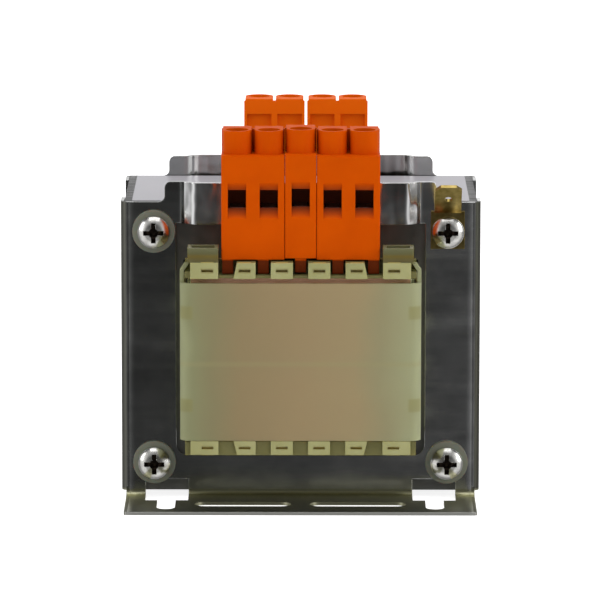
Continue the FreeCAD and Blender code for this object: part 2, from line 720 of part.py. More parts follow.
# The brackets: one folded sheet on each face of the core
def bracket(name):
    """Plate, two side flanges, a foot with slots and a joggled strap across the top."""
    body = new_body(name)
    # Side flanges, folded back along the core's sides
    flanges = new_sketch(body, "XY_Plane", core_floor)
    inside = bracket_side - bracket_sheet
    back = plate_front - side_flange
    polygon(flanges, [
        (-bracket_side, -back), (-bracket_side, -plate_front),
        (bracket_side, -plate_front), (bracket_side, -back),
        (inside, -back), (inside, -core_front), (-inside, -core_front), (-inside, -back),
    ])
    pad(body, flanges, core_height)
    round_edges(body, side_bend, lambda middle, along:
                upright(along) and near(abs(middle.x), bracket_side) and near(middle.y, -plate_front))
    # Plate, with its raised middle
    plate = new_sketch(body, "XZ_Plane", core_front)
    polygon(plate, [
        (-plate_x, core_floor), (plate_x, core_floor), (plate_x, core_top),
        (shoulder_x, core_top), (shoulder_x, bracket_top),
        (-shoulder_x, bracket_top), (-shoulder_x, core_top), (-plate_x, core_top),
    ])
    pad(body, plate, bracket_sheet)
    round_edges(body, shoulder_fillet, lambda middle, along:
                lengthwise(along) and near(abs(middle.x), shoulder_x) and near(middle.z, core_top))
    round_edges(body, shoulder_corner, lambda middle, along:
                lengthwise(along) and near(middle.z, bracket_top))
    # Foot: the sheet turns forward under the core
    foot = new_sketch(body, "YZ_Plane")
    polygon(foot, [
        (-core_front, 0), (-foot_front, 0), (-foot_front, bracket_sheet),
        (-plate_front, bracket_sheet), (-plate_front, core_floor + bend_inside),
        (-core_front, core_floor + bend_inside),
    ])
    pad(body, foot, (bracket_side - foot_side_inset) * 2, both_ways=True)
    outside_bend = bracket_sheet + bend_inside
    round_edges(body, outside_bend, lambda middle, along:
                crosswise(along) and near(middle.z, 0) and near(middle.y, -core_front))
    round_edges(body, bend_inside, lambda middle, along:
                crosswise(along) and near(middle.z, bracket_sheet) and near(middle.y, -plate_front))
    round_edges(body, foot_corner, lambda middle, along:
                upright(along) and near(middle.y, -foot_front))
    # Window for the coil
    window = new_sketch(body, "XZ_Plane", core_front)
    rectangle(window, -bracket_window_x, bracket_window_sill,
              bracket_window_x, bracket_top + SLACK)
    pocket(body, window, bracket_sheet + SLACK, backwards=True)
    round_edges(body, bracket_window_corner, lambda middle, along:
                lengthwise(along) and near(middle.z, bracket_window_sill))
    # Strap over the coil, joggled forward to make room for the terminals' hooks
    strap = new_sketch(body, "XY_Plane", strap_bottom)
    root = bracket_window_x + bracket_sheet
    knee_front = bracket_window_x - joggle_radius * 0.6
    knee_back = knee_front - bracket_sheet / 2
    strap_back = strap_front - bracket_sheet
    polygon(strap, [
        (-root, -core_front), (-knee_back, -core_front),
        (-(knee_back - joggle_run), -strap_back), (knee_back - joggle_run, -strap_back),
        (knee_back, -core_front), (root, -core_front),
        (root, -plate_front), (knee_front, -plate_front),
        (knee_front - joggle_run, -strap_front), (-(knee_front - joggle_run), -strap_front),
        (-knee_front, -plate_front), (-root, -plate_front),
    ])
    pad(body, strap, strap_height)
    round_edges(body, joggle_radius, lambda middle, along:
                upright(along) and (
                    (near(abs(middle.x), knee_back) and near(middle.y, -core_front))
                    or (near(abs(middle.x), knee_front) and near(middle.y, -plate_front))
                    or near(middle.y, -strap_front)
                    or near(middle.y, -strap_back)))
    # Bolt holes
    holes = new_sketch(body, "XZ_Plane", core_front)
    for hand in (-1, 1):
        for height in (bolt_low, bolt_high):
            circle(holes, hand * bolt_x, height, bolt_hole_radius)
    pocket(body, holes, bracket_sheet + SLACK, backwards=True)
    # Fixing notches that run from the plate round the bend into the foot
    notches = new_sketch(body, "XY_Plane")
    tips = new_sketch(body, "XY_Plane")
    wide = notch_width / 2
    slim = foot_slot_width / 2
    step = core_front + notch_reach
    tip = core_front + foot_slot_reach - slim
    for hand in (-1, 1):
        x = hand * notch_pitch / 2
        polygon(notches, [
            (x - wide, SLACK - core_front), (x - wide, -step), (x - slim, -step), (x - slim, -tip),
            (x + slim, -tip), (x + slim, -step), (x + wide, -step), (x + wide, SLACK - core_front),
        ])
        circle(tips, x, -tip, slim)
    pocket(body, notches, core_floor + notch_rise, backwards=True)
    pocket(body, tips, core_floor + notch_rise, backwards=True)
    # Two long slots across the foot
    long_slots = new_sketch(body, "XY_Plane")
    ends = new_sketch(body, "XY_Plane")
    half = long_slot_width / 2
    run = long_slot_length / 2 - half
    y = -(core_front + long_slot_reach)
    for hand in (-1, 1):
        x = hand * long_slot_pitch / 2
        rectangle(long_slots, x - run, y - half, x + run, y + half)
        circle(ends, x - run, y, half)
        circle(ends, x + run, y, half)
    pocket(body, long_slots, core_floor, backwards=True)
    pocket(body, ends, core_floor, backwards=True)
    return body


front_bracket = bracket("front_bracket")
rear_bracket = bracket("rear_bracket")
place(rear_bracket, turn=180)
nodes.append(front_bracket)
nodes.append(rear_bracket)


# The clamp screws, with their nuts and washers
def washer(name):
    body = new_body(name)
    plan = new_sketch(body, "XZ_Plane")
    circle(plan, 0, 0, washer_radius)
    circle(plan, 0, 0, washer_bore)
    pad(body, plan, washer_thickness)
    return body


def clamp_screw(name, seat):
    """Pan head screw; seat is how far in front of the bracket its head bears."""
    body = new_body(name)
    tail = -(core_depth + 2 * bracket_sheet + seat + washer_thickness + nut_height + screw_point)
    half = new_sketch(body, "YZ_Plane")
    polygon(half, [
        (head_height * -1, 0), (head_height * -1, head_radius),
        (0, head_radius), (0, screw_radius),
        (-tail - screw_radius / 4, screw_radius), (-tail, screw_radius * 0.75), (-tail, 0),
    ])
    turned = body.newObject("PartDesign::Revolution", name + "_turned")
    turned.Profile = half
    turned.ReferenceAxis = (half, ["H_Axis"])
    turned.Angle = 360
    doc.recompute()
    round_head = body.newObject("PartDesign::Fillet", name + "_crown")
    rim = []
    for number, edge in enumerate(turned.Shape.Edges, start=1):
        middle = edge.BoundBox.Center
        wide = edge.BoundBox.XLength / 2
        if near(middle.y, head_height * -1) and near(wide, head_radius):
            rim.append(f"Edge{number}")
    round_head.Base = (turned, rim)
    round_head.setExpression("Radius", head_crown.formula)
    doc.recompute()
    cross = new_sketch(body, "XZ_Plane", head_height)
    arm = recess_span / 2
    slim = recess_width / 2
    polygon(cross, [
        (-arm, -slim), (-slim, -slim), (-slim, -arm), (slim, -arm), (slim, -slim), (arm, -slim),
        (arm, slim), (slim, slim), (slim, arm), (-slim, arm), (-slim, slim), (-arm, slim),
    ])
    pocket(body, cross, recess_depth)
    core = new_sketch(body, "XZ_Plane", head_height)
    circle(core, 0, 0, recess_core_radius)
    pocket(body, core, recess_core_depth)
    return body


def nut(name):
    body = new_body(name)
    plan = new_sketch(body, "XZ_Plane")
    flat = nut_flats / 2
    corner = nut_flats * 0.57735
    polygon(plan, [
        (-corner, 0), (corner / -2, -flat), (corner / 2, -flat),
        (corner, 0), (corner / 2, flat), (corner / -2, flat),
    ])
    circle(plan, 0, 0, screw_radius + thread_gap)
    pad(body, plan, nut_height, backwards=True)
    return body


screws = []
nuts = []
front_washers = []
rear_washers = []
rear_face = core_front + bracket_sheet
for corner_name, x, z in (
    ("top_left", -bolt_x, bolt_high), ("top_right", bolt_x, bolt_high),
    ("low_left", -bolt_x, bolt_low), ("low_right", bolt_x, bolt_low),
):
    seat = washer_thickness
    if corner_name == "top_right":
        seat = tab_sheet
    else:
        ring_washer = washer(f"front_washer_{corner_name}")
        place(ring_washer, x, -plate_front, z)
        front_washers.append(ring_washer)
    screw = clamp_screw(f"clamp_screw_{corner_name}", seat)
    place(screw, x, -(plate_front + seat), z)
    screws.append(screw)
    back_washer = washer(f"rear_washer_{corner_name}")
    place(back_washer, x, rear_face + washer_thickness, z)
    rear_washers.append(back_washer)
    hex_nut = nut(f"clamp_nut_{corner_name}")
    place(hex_nut, x, rear_face + washer_thickness, z)
    nuts.append(hex_nut)
nodes.append(group("clamp_screws", screws))
nodes.append(group("clamp_nuts", nuts))
nodes.append(group("front_washers", front_washers))
nodes.append(group("rear_washers", rear_washers))


# The earth tab under the top right screw
def earth_tab():
    body = new_body("earth_tab")
    base = new_sketch(body, "XZ_Plane")
    half = tab_base_width / 2
    bottom = tab_base_rise - tab_base_height
    rectangle(base, -half, bottom, half, tab_base_rise)
    circle(base, 0, 0, washer_bore)
    pad(body, base, tab_sheet)
    blade = new_sketch(body, "XZ_Plane")
    lean = FreeCAD.Rotation(FreeCAD.Vector(1, 0, 0), plain(tab_angle))
    blade.AttachmentOffset = FreeCAD.Placement(FreeCAD.Vector(0, plain(tab_base_rise), 0), lean)
    blade.setExpression("AttachmentOffset.Base.y", tab_base_rise.formula)
    blade.setExpression("AttachmentOffset.Rotation.Angle", tab_angle.formula)
    side = tab_width / 2
    polygon(blade, [
        (-side, 0), (side, 0), (side, tab_length - tab_tip),
        (side - tab_tip, tab_length), (tab_tip - side, tab_length), (-side, tab_length - tab_tip),
    ])
    circle(blade, 0, tab_length - tab_hole_inset, tab_hole_radius)
    pad(body, blade, tab_sheet)
    place(body, bolt_x, -plate_front, bolt_high)
    return body


nodes.append(earth_tab())


# The rating label on top of the core
def rating_label():
    body = new_body("rating_label")
    plan = new_sketch(body, "XY_Plane", core_top)
    x = core_side - label_margin
    y = core_front - label_edge
    rectangle(plan, -x, -y, x, y)
    pad(body, plan, label_thickness)
    round_edges(body, label_corner, lambda middle, along: upright(along))
    return body


nodes.append(rating_label())


# The screw terminals
def terminal_block(name, poles, tenons):
    """Moulded housing with one tower, wire entry, clamp chamber and back recess per pole."""
    body = new_body(name)
    half = pole_pitch * poles / 2 - block_gap / 2
    poles_x = [pole_pitch * (number - (poles - 1) / 2) for number in range(poles)]
    block = new_sketch(body, "XY_Plane", block_bottom)
    rectangle(block, -half, -block_front, half, -block_back)
    pad(body, block, block_height)
    round_edges(body, block_edge, lambda middle, along: upright(along))
    spine = new_sketch(body, "XY_Plane", block_shoulder)
    rectangle(spine, -half, -(block_back + spine_depth), half, -block_back)
    pad(body, spine, tower_rise - spine_drop)
    towers = new_sketch(body, "XY_Plane", block_shoulder)
    for x in poles_x:
        rectangle(towers, x - tower_radius, -tower_centre, x + tower_radius, -block_back)
    pad(body, towers, tower_rise)
    fronts = new_sketch(body, "XY_Plane", block_shoulder)
    for x in poles_x:
        circle(fronts, x, -tower_centre, tower_radius)
    pad(body, fronts, tower_rise)
    chambers = new_sketch(body, "XY_Plane", block_bottom + block_floor)
    slits = new_sketch(body, "XY_Plane", block_bottom)
    slit_x = contact_width / 2 + contact_gap
    slit_front = contact_back + contact_sheet + contact_gap
    for x in poles_x:
        rectangle(chambers, x - chamber_width / 2, -chamber_front,
                  x + chamber_width / 2, -chamber_back)
        rectangle(slits, x - slit_x, -slit_front, x + slit_x, -chamber_back)
    pocket(body, chambers, chamber_top - block_bottom - block_floor, backwards=True)
    pocket(body, slits, block_floor + SLACK, backwards=True)
    recesses = new_sketch(body, "XZ_Plane", block_back)
    for x in poles_x:
        rectangle(recesses, x - back_recess_width / 2, block_bottom + back_recess_sill,
                  x + back_recess_width / 2, tower_top - back_recess_drop)
    pocket(body, recesses, back_recess_depth, backwards=True)
    funnels = new_sketch(body, "XY_Plane", tower_top)
    bores = new_sketch(body, "XY_Plane", tower_top)
    for x in poles_x:
        circle(funnels, x, -tower_centre, funnel_radius)
        circle(bores, x, -tower_centre, driver_bore)
    pocket(body, funnels, funnel_depth)
    pocket(body, bores, tower_top - chamber_top + SLACK)
    for x in poles_x:
        entry = new_sketch(body, "YZ_Plane", x)
        polygon(entry, [
            (-(block_front + SLACK), entry_top), (-block_front, entry_top),
            (-(block_front - lintel_slope), throat_top), (-(chamber_front - SLACK), throat_top),
            (-(chamber_front - SLACK), throat_bottom), (-(block_front - sill_slope), throat_bottom),
            (-block_front, entry_bottom), (-(block_front + SLACK), entry_bottom),
        ])
        pocket(body, entry, entry_width, both_ways=True)
    feet = new_sketch(body, "XY_Plane", block_bottom)
    for x in tenons:
        rectangle(feet, x - tenon_width / 2, -tenon_front, x + tenon_width / 2, -tenon_back)
    pad(body, feet, block_bottom - shelf - tenon_seat, backwards=True)
    return body


def clamp_cage(name):
    """Metal frame that the screw pulls up against the conductor."""
    body = new_body(name)
    floor = cage_floor - cage_wall
    ceiling = throat_top + cage_top
    outline = new_sketch(body, "XZ_Plane", cage_back)
    inner = cage_x - cage_wall
    rectangle(outline, -cage_x, floor, cage_x, ceiling)
    rectangle(outline, -inner, cage_floor, inner, throat_top)
    pad(body, outline, cage_front - cage_back)
    thread = new_sketch(body, "XY_Plane", ceiling)
    circle(thread, 0, -tower_centre, clamp_screw_radius + thread_gap)
    pocket(body, thread, cage_top + SLACK)
    return body


def contact_strip(name):
    """Bent strip: tongue inside the cage, leg down to the bobbin."""
    body = new_body(name)
    profile = new_sketch(body, "YZ_Plane")
    foot = bobbin_top + tenon_seat
    leg_front = contact_back + contact_sheet
    polygon(profile, [
        (-contact_back, foot), (-contact_back, throat_bottom), (-cage_front, throat_bottom),
        (-cage_front, cage_floor), (-leg_front, cage_floor), (-leg_front, foot),
    ])
    pad(body, profile, contact_width, both_ways=True)
    return body


def terminal_screw(name):
    """Slotted cheese-head screw at the bottom of the tower's funnel."""
    body = new_body(name)
    head_floor = tower_top - funnel_depth
    head_top = head_floor + clamp_head_height
    profile = new_sketch(body, "XZ_Plane", tower_centre)
    polygon(profile, [
        (0, head_top), (clamp_head_radius, head_top), (clamp_head_radius, head_floor),
        (clamp_screw_radius, head_floor), (clamp_screw_radius, throat_top), (0, throat_top),
    ])
    turned = body.newObject("PartDesign::Revolution", name + "_turned")
    turned.Profile = profile
    turned.ReferenceAxis = (profile, ["V_Axis"])
    turned.Angle = 360
    doc.recompute()
    slot = new_sketch(body, "XY_Plane", head_top)
    reach = clamp_head_radius + SLACK
    slim = driver_slot_width / 2
    rectangle(slot, -reach, -tower_centre - slim, reach, slim - tower_centre)
    pocket(body, slot, driver_slot_depth)
    return body


gap_x = tooth_pitch
edge_gap_x = pole_pitch * 2.5 - block_gap / 2 - tenon_width / 2 - block_gap * 2
two_pole = pole_pitch * 1.5
rear_x = pole_pitch + rear_row_gap / 2 - block_gap / 2
rows = {"front": [], "rear": []}
front_blocks = (
    ("terminal_front_left", 2, -two_pole, 0, [two_pole - gap_x, two_pole - edge_gap_x]),
    ("terminal_front_middle", 1, pole_pitch * 0, middle_lift, [pole_pitch * 0]),
    ("terminal_front_right", 2, two_pole, 0, [gap_x - two_pole, edge_gap_x - two_pole]),
)
for name, poles, x, lift, tenons in front_blocks:
    block = terminal_block(name, poles, tenons)
    place(block, x, 0, lift)
    nodes.append(block)
    for number in range(poles):
        rows["front"].append((x + pole_pitch * (number - (poles - 1) / 2), lift, 0))
for name, hand in (("terminal_rear_left", -1), ("terminal_rear_right", 1)):
    x = rear_row_shift + hand * rear_x
    block = terminal_block(name, 2, [x - hand * gap_x])
    place(block, x, 0, 0, turn=180)
    nodes.append(block)
    for step in (-0.5, 0.5):
        rows["rear"].append((x + pole_pitch * step, 0, 180))
for row, stations in rows.items():
    for kind, make in (("clamp_cages", clamp_cage), ("contacts", contact_strip),
                       ("terminal_screws", terminal_screw)):
        members = []
        for number, (x, lift, turn) in enumerate(stations, start=1):
            piece = make(f"{row}_{kind}_{number}")
            place(piece, x, 0, lift, turn)
            members.append(piece)
        nodes.append(group(f"{row}_{kind}", members))

doc.recompute()

for thing in doc.Objects:
    if "Invalid" in thing.State or "Error" in thing.State:
        raise RuntimeError(f"{thing.Name} failed: {thing.State}")
for node in nodes:
    if node.Shape.isNull() or not node.Shape.isValid():
        raise RuntimeError(f"{node.Label} has no valid shape")

os.makedirs("parts", exist_ok=True)
for node in nodes:
    node.Shape.exportStep(f"parts/{node.Label}.step")
    print(f"{node.Label}: {len(node.Shape.Solids)} solids, {node.Shape.Volume:.1f} mm3")
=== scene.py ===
# %% [markdown]
# # A laminated chassis transformer, dressed for its portrait
# All forms are there already, so this lesson adds none. It gives each node the finish that
# rolling, cutting, moulding or plating leaves on the real piece, and then sets up floor, light
# and camera.

# %% Load the fixed frame
import math

import bmesh
import bpy
from mathutils import Matrix, Vector

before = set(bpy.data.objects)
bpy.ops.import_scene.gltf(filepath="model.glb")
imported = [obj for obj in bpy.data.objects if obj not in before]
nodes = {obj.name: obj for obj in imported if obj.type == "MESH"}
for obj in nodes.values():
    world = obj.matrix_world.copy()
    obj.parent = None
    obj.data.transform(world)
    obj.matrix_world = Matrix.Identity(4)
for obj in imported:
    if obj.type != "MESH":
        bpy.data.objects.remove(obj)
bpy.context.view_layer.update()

MM = 0.001

# %% [markdown]
# ## Finishes
# Every finish is one Principled shader. Plain values sit on the shader's own sockets. Only what
# really varies over a surface, such as a grain or a scratch, comes from texture nodes. Those
# read Object coordinates, which for these pieces are the real places on the part, in metres.

# %% A finish
def finish(name, colour, metallic=0.0, roughness=0.5, **sockets):
    """A material with one Principled shader whose sockets hold the plain values."""
    material = bpy.data.materials.new(name)
    material.use_nodes = True
    shader = material.node_tree.nodes["Principled BSDF"]
    shader.inputs["Base Color"].default_value = (*colour, 1.0)
    shader.inputs["Metallic"].default_value = metallic
    shader.inputs["Roughness"].default_value = roughness
    for socket, value in sockets.items():
        shader.inputs[socket.replace("_", " ")].default_value = value
    return material


# %% [markdown]
# ## Nodes
# A material and a world both own a node tree, so a helper takes either as its owner. Each helper
# returns the output that the next one takes, and a chain of them reads like a sum.

# %% Nodes, links and sums
def add_node(owner, kind, **values):
    """One node; a value whose name is an input goes to that input, any other to a property."""
    node = owner.node_tree.nodes.new("ShaderNode" + kind)
    for name, value in values.items():
        if name in node.inputs:
            node.inputs[name].default_value = value
        else:
            setattr(node, name, value)
    return node


def link(owner, source, target):
    owner.node_tree.links.new(source, target)


def shader_of(material):
    return material.node_tree.nodes["Principled BSDF"]


def math_node(owner, operation, *terms):
    """One step of arithmetic; a term is a number or another node's output."""
    node = add_node(owner, "Math", operation=operation)
    for socket, term in zip(node.inputs, terms):
        if isinstance(term, (int, float)):
            socket.default_value = term
        else:
            link(owner, term, socket)
    return node.outputs[0]


def product(owner, first, *others):
    """Several factors multiplied together."""
    for other in others:
        first = math_node(owner, "MULTIPLY", first, other)
    return first


# %% [markdown]
# ## Places
# A mask is a value that is 1 on a fold, a slot or an edge and 0 elsewhere. It could be painted
# by hand, but the place itself says it exactly: how far a point lies to the side, to the back
# and above the floor. A soft step at the border keeps a mask from flickering there.

# %% Masks
SOFT_STEP = 0.2 * MM


def stretched(material, scale=(1.0, 1.0, 1.0)):
    """Object coordinates in metres, multiplied by a scale for each axis."""
    place = add_node(material, "TexCoord")
    mapping = add_node(material, "Mapping", Scale=scale)
    link(material, place.outputs["Object"], mapping.inputs["Vector"])
    return mapping.outputs["Vector"]


def axes_of(owner, vector):
    """The X, Y and Z outputs of a vector."""
    split = add_node(owner, "SeparateXYZ")
    link(owner, vector, split.inputs[0])
    return split.outputs


def ranged(owner, source, low, high, to_low, to_high):
    """A value carried from one range to another and held inside it."""
    node = add_node(owner, "MapRange", clamp=True)
    for index, value in enumerate((low, high, to_low, to_high), start=1):
        node.inputs[index].default_value = value
    link(owner, source, node.inputs[0])
    return node.outputs[0]


def past(owner, source, place, soft=SOFT_STEP):
    """0 up to a place, and 1 from a soft step further on."""
    return ranged(owner, source, place, place + soft, 0.0, 1.0)


def within(owner, source, place, soft=SOFT_STEP):
    """1 up to a place, and 0 from a soft step further on."""
    return ranged(owner, source, place, place + soft, 1.0, 0.0)


def off(owner, source, middle):
    """How far a value is from a middle, on either side of it."""
    return math_node(owner, "ABSOLUTE", math_node(owner, "SUBTRACT", source, middle))


# %% [markdown]
# ## Colour, grain and relief
# A ramp or a blend picks the colour. Grain is noise, stretched where rolling drew it out. Relief
# is a Bump node, for unevenness far thinner than a form, and under it a Bevel node rounds the
# sharp edges of folded sheet and mouldings, where light catches them. Neither touches the mesh.

# %% Colour
def ramp(owner, source, stops):
    """A colour, or a brightness, for each position along a value from 0 to 1."""
    node = add_node(owner, "ValToRGB")
    colours = node.color_ramp.elements
    while len(colours) < len(stops):
        colours.new(0.5)
    for stop, (position, colour) in zip(colours, stops):
        stop.position = position
        stop.color = (*colour, 1.0) if isinstance(colour, tuple) else (colour, colour, colour, 1.0)
    link(owner, source, node.inputs["Fac"])
    return node.outputs["Color"]


def blend(material, factor, one, other):
    """A colour between two, which are colours or outputs."""
    mix = add_node(material, "Mix", data_type="RGBA")
    link(material, factor, mix.inputs[0])
    for socket, colour in ((mix.inputs[6], one), (mix.inputs[7], other)):
        if isinstance(colour, tuple):
            socket.default_value = (*colour, 1.0)
        else:
            link(material, colour, socket)
    return mix.outputs[2]


def paint(material, colour):
    link(material, colour, shader_of(material).inputs["Base Color"])


def tint(material, source, stops):
    """Colour stops along a value, into Base Color."""
    paint(material, ramp(material, source, stops))


# %% Grain and relief
NOISE_SPAN = (0.3, 0.7)      # nearly all of a noise lies between these


def noise(material, scale, detail=3.0, rough=0.5, stretch=(1.0, 1.0, 1.0)):
    """Cloudy noise with about scale lumps to the metre."""
    texture = add_node(material, "TexNoise", Scale=scale, Detail=detail, Roughness=rough)
    link(material, stretched(material, stretch), texture.inputs["Vector"])
    return texture.outputs["Fac"]


def bands(material, axis, pitch, distortion, detail):
    """Soft bands across an axis, one to a pitch; at Scale 1 the texture's pitch is pi / 10."""
    texture = add_node(material, "TexWave", wave_type="BANDS", bands_direction=axis,
                       Scale=math.pi / (10.0 * pitch), Distortion=distortion, Detail=detail)
    link(material, stretched(material), texture.inputs["Vector"])
    return texture.outputs["Fac"]


def relief(material, source, distance, strength=1.0, edge=0.0):
    """A bump from a value, on top of a soft edge of the given radius."""
    bump = add_node(material, "Bump", Distance=distance, Strength=strength)
    link(material, source, bump.inputs["Height"])
    if edge:
        bevel = add_node(material, "Bevel", samples=4, Radius=edge)
        link(material, bevel.outputs["Normal"], bump.inputs["Normal"])
    link(material, bump.outputs["Normal"], shader_of(material).inputs["Normal"])


# %% Putting a finish on nodes
def dress(material, *names):
    """Give a finish to CAD nodes, by assigning it to their material slots."""
    for name in names:
        slots = nodes[name].material_slots
        if not slots:
            nodes[name].data.materials.append(material)
        for slot in slots:
            slot.material = material
    print(material.name, "on", ", ".join(names))


# %% [markdown]
# ## Zinc-plated sheet
# The brackets are cold-rolled sheet with a thin bright zinc coat. Rolling leaves fine streaks
# along the strip, and handling leaves short scratches. A metallic shader carries both: streaks
# change the roughness a little, and the sheet is never quite flat, least of all on the strap,
# where forming has left dents between the two joggles. The folds and the foot are duller than
# the plate, and the outer edge of the foot is bare, cut metal. Light is painted into the colour
# as well: a painted sheen that grows toward the right and is dimmed by painted shade on the rear
# bracket, painted shade on the side folds, and painted reflections in vertical streaks on the
# strap. Along the foot the colour goes from lighter near its bend to darker near its outer edge.

# %% Where a bracket is bent, handled and cut
SIDE_FOLD = 41.3 * MM        # to either side, past this, lies a side flange
BEND_REACH = 19.0 * MM       # forward or back, past this, a flange bends into the plate
STRAP_FACE = 21.9 * MM       # forward or back, the strap stands proud of the plate
STRAP_FOOT = 58.0 * MM       # height above which the strap begins
FOOT_TOP = 1.6 * MM
# Along the foot the colour goes from lighter near its bend to darker near its outer edge.
FOOT_LIGHT_UNTIL = 24.0 * MM       # the foot is clean near its bend
FOOT_DARK_FROM = 41.0 * MM        # and dull near its outer edge
FOOT_EDGE = 42.2 * MM
SHEEN_HALF = 30.0 * MM       # the plate's sheen grows from one side to the other
BRACKET_SPLIT = 10.0 * MM    # tells the rear bracket from the front one


def bracket_places(zinc):
    """Values that say where on a bracket a point lies, most of them masks."""
    axes = axes_of(zinc, stretched(zinc))
    aside = math_node(zinc, "ABSOLUTE", axes["X"])
    reach = math_node(zinc, "ABSOLUTE", axes["Y"])
    return {
        "aside": aside,
        "rightward": ranged(zinc, axes["X"], -SHEEN_HALF, SHEEN_HALF, 0.0, 1.0),
        "backward": ranged(zinc, axes["Y"], -BRACKET_SPLIT, BRACKET_SPLIT, 0.0, 1.0),
        "strap": product(zinc, past(zinc, reach, STRAP_FACE, 0.4 * MM),
                         past(zinc, axes["Z"], STRAP_FOOT, 2.0 * MM)),
        "fold": product(zinc, past(zinc, aside, SIDE_FOLD, 0.4 * MM),
                        past(zinc, reach, BEND_REACH, 1.0 * MM)),
        "foot": within(zinc, axes["Z"], FOOT_TOP, 0.8 * MM),
        "along_foot": ranged(zinc, reach, FOOT_LIGHT_UNTIL, FOOT_DARK_FROM, 0.0, 1.0),
        "edge": past(zinc, reach, FOOT_EDGE, 0.1 * MM),
    }


print("bracket: folds past", SIDE_FOLD / MM, "mm, strap above", STRAP_FOOT / MM, "mm")

# %% Colour of the plate
# Painted sheen: a shaded copy of the cloudy plate on the left turns into a lit copy on the right,
# and the rear bracket stays mostly in painted shade.
SHADED_ZINC = [(0.30, (0.34, 0.35, 0.34)), (0.50, (0.43, 0.44, 0.43)), (0.70, (0.53, 0.53, 0.52))]
LIT_ZINC = [(0.30, (0.66, 0.67, 0.67)), (0.50, (0.80, 0.81, 0.81)), (0.70, (0.94, 0.94, 0.93))]
# Painted reflections on the strap, in dark and bright vertical streaks.
STRAP_REFLECTION_DARK = ((0.45, 0.44, 0.43), (0.22, 0.21, 0.20))       # front bracket, rear bracket
STRAP_REFLECTION_BRIGHT = ((0.80, 0.80, 0.80), (0.52, 0.51, 0.50))     # front bracket, rear bracket
# Painted shade on the side folds, darker on the right than on the left.
FOLD_PAINTED_SHADE = ((0.15, 0.15, 0.13), (0.10, 0.10, 0.08))         # left, right
FOOT_ZINC = ((0.52, 0.51, 0.33), (0.25, 0.25, 0.19))         # at the bend, at the edge
CUT_EDGE = (0.62, 0.62, 0.58)
REAR_SHADE = 0.8


def zinc_colour(zinc, place):
    """Cloudy plate with a painted sheen to the front right, a strap with painted reflections,
    folds in painted shade, a foot, and a cut edge.
    """
    clouds = noise(zinc, 90.0, detail=9.0, rough=0.72)
    # Painted sheen, lighter to the right and dimmed by painted shade on the rear bracket.
    light = product(zinc, place["rightward"],
                    math_node(zinc, "MULTIPLY_ADD", place["backward"], -REAR_SHADE, 1.0))
    colour = blend(zinc, light, ramp(zinc, clouds, SHADED_ZINC), ramp(zinc, clouds, LIT_ZINC))
    # Painted reflections: dark and bright vertical streaks on the strap, dimmer on the rear
    # bracket.
    streaks = noise(zinc, 170.0, detail=2.0, stretch=(1.0, 1.0, 0.2))
    strap = blend(zinc, ranged(zinc, streaks, 0.42, 0.58, 0.0, 1.0),
                  blend(zinc, place["backward"], *STRAP_REFLECTION_DARK),
                  blend(zinc, place["backward"], *STRAP_REFLECTION_BRIGHT))
    fold = blend(zinc, place["rightward"], *FOLD_PAINTED_SHADE)
    foot = blend(zinc, place["along_foot"], *FOOT_ZINC)
    for part, shade in (("strap", strap), ("fold", fold), ("foot", foot), ("edge", CUT_EDGE)):
        colour = blend(zinc, place[part], colour, shade)
    return colour


# %% Gloss and unevenness of the plate
LEAST_ROUGHNESS = {"fold": 0.38, "foot": 0.36, "edge": 0.55}
STRAP_DENTS = 2.6
STRAP_RIPPLES = 1.1
WAVE_HEIGHT = 0.5 * MM
SHOULDER_START = 39.4 * MM
SHOULDER_END = 41.0 * MM
SHOULDER_RADIUS = 6.5 * MM


def zinc_roughness(zinc, place):
    """Fine rolled streaks, and a dull skin on fold, foot and edge."""
    streaks = noise(zinc, 300.0, detail=4.0, stretch=(0.10, 1.0, 1.0))
    rough = ranged(zinc, streaks, *NOISE_SPAN, 0.13, 0.26)
    for part, least in LEAST_ROUGHNESS.items():
        rough = math_node(zinc, "MAXIMUM", rough, product(zinc, place[part], least))
    return rough


def zinc_height(zinc, place):
    """Long waves, ripples on the strap, and a shoulder that turns away to each side fold."""
    dents = math_node(zinc, "MULTIPLY_ADD", place["strap"], STRAP_DENTS, 1.0)
    waves = product(zinc, noise(zinc, 75.0, detail=1.5), dents)
    ripples = noise(zinc, 230.0, detail=1.0, stretch=(1.0, 1.0, 0.6))
    ripples = product(zinc, ripples, place["strap"])
    height = math_node(zinc, "MULTIPLY_ADD", ripples, STRAP_RIPPLES, waves)
    shoulder = math_node(zinc, "MINIMUM", place["aside"], SHOULDER_END)
    shoulder = math_node(zinc, "SUBTRACT", shoulder, SHOULDER_START)
    shoulder = math_node(zinc, "MAXIMUM", shoulder, 0.0)
    fall = -1.0 / (2.0 * SHOULDER_RADIUS * WAVE_HEIGHT)
    return math_node(zinc, "MULTIPLY_ADD", product(zinc, shoulder, shoulder), fall, height)


# %% Zinc plate on the brackets
def zinc_plate():
    zinc = finish("zinc_plate", (0.56, 0.56, 0.57), 1.0, 0.18)
    place = bracket_places(zinc)
    paint(zinc, zinc_colour(zinc, place))
    link(zinc, zinc_roughness(zinc, place), shader_of(zinc).inputs["Roughness"])
    relief(zinc, zinc_height(zinc, place), WAVE_HEIGHT, edge=0.28 * MM)
    return zinc


dress(zinc_plate(), "front_bracket", "rear_bracket")

# %% [markdown]
# ## Laminated core
# The core is a pile of half-millimetre steel sheets. Their cut edges show as fine lines on
# the top, the bottom and the sides. A band texture across the pile, one band to a sheet,
# makes each edge darker at its joint, and a noise along the pile lets some sheets stand out.
# The face of the outermost sheet is rolled, not cut, so a surface that faces along Y is plain.

# %% Sheet edges
SHEET = 0.5 * MM
CUT_STEEL = [(0.10, 0.05), (0.45, 0.15), (0.9, 0.37)]
ROLLED_STEEL = (0.19, 0.19, 0.18)


